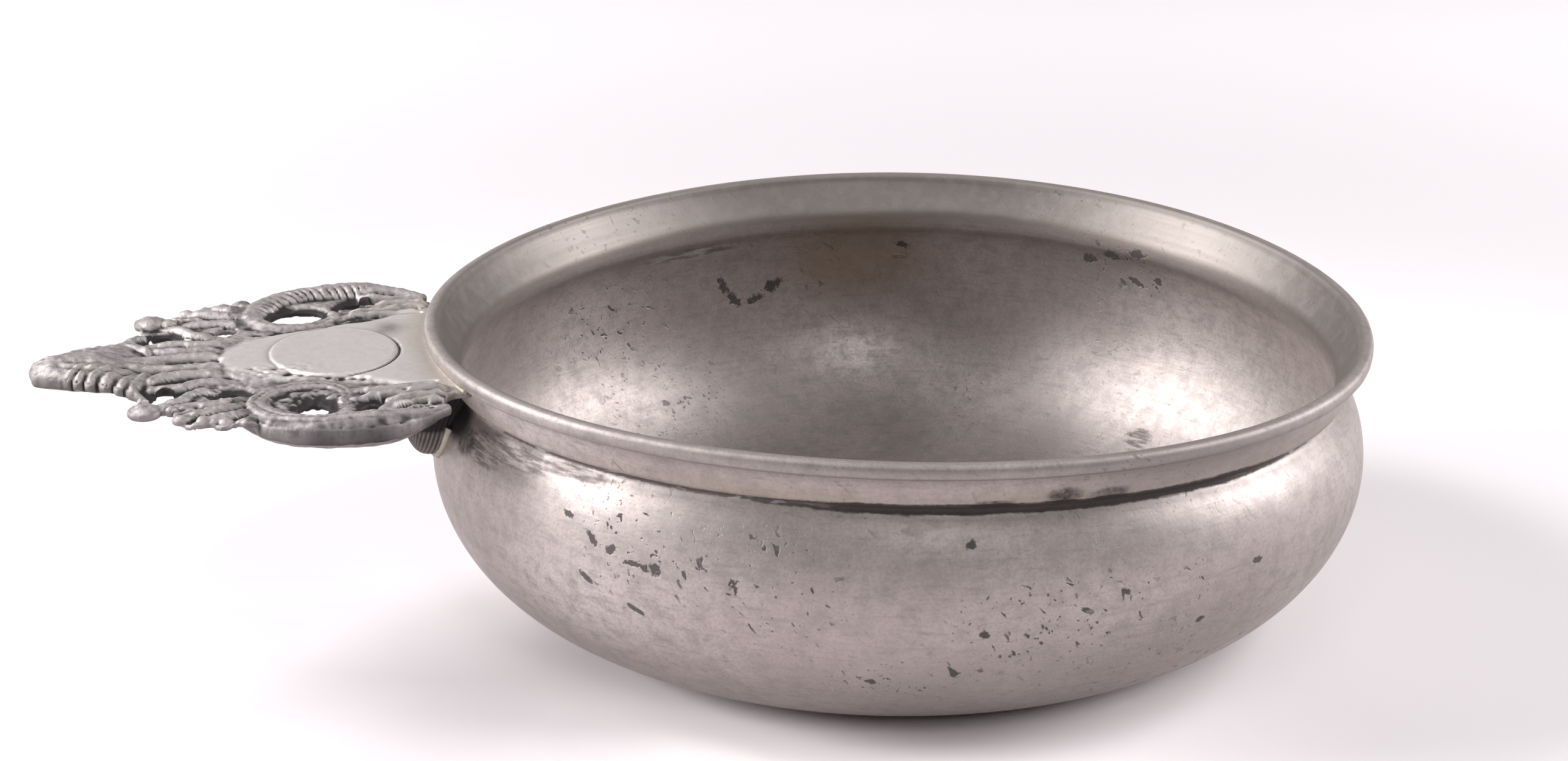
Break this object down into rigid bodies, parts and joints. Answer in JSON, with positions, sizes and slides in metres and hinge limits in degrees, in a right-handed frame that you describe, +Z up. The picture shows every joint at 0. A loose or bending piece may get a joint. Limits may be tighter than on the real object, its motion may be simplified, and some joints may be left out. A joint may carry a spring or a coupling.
{
  "type": "porringer",
  "caption": "Shallow round pewter bowl with a boss bottom, grooved collar and one pierced, scrolled side handle.",
  "frame": {"origin": "on the table plane, midway along the overall length from the rim's far edge to the handle's tip; the bowl's axis is 26.7 mm along +X", "axes": "+Z up out of the bowl; the handle points along -X"},
  "size_m": [0.1874, 0.134, 0.0443],
  "materials": {
    "bowl_pewter": "turned pewter, softly polished, pitted and worn",
    "cast_pewter": "cast pewter, dull and oxidised in the recesses",
    "solder": "dull solder, slightly rough"
  },
  "bodies": {
    "root": {"bowl": "bowl_pewter", "handle": "cast_pewter", "bracket": "cast_pewter", "handle_solder_seam": "solder", "bracket_solder_seam": "solder"}
  },
  "joints": []
}
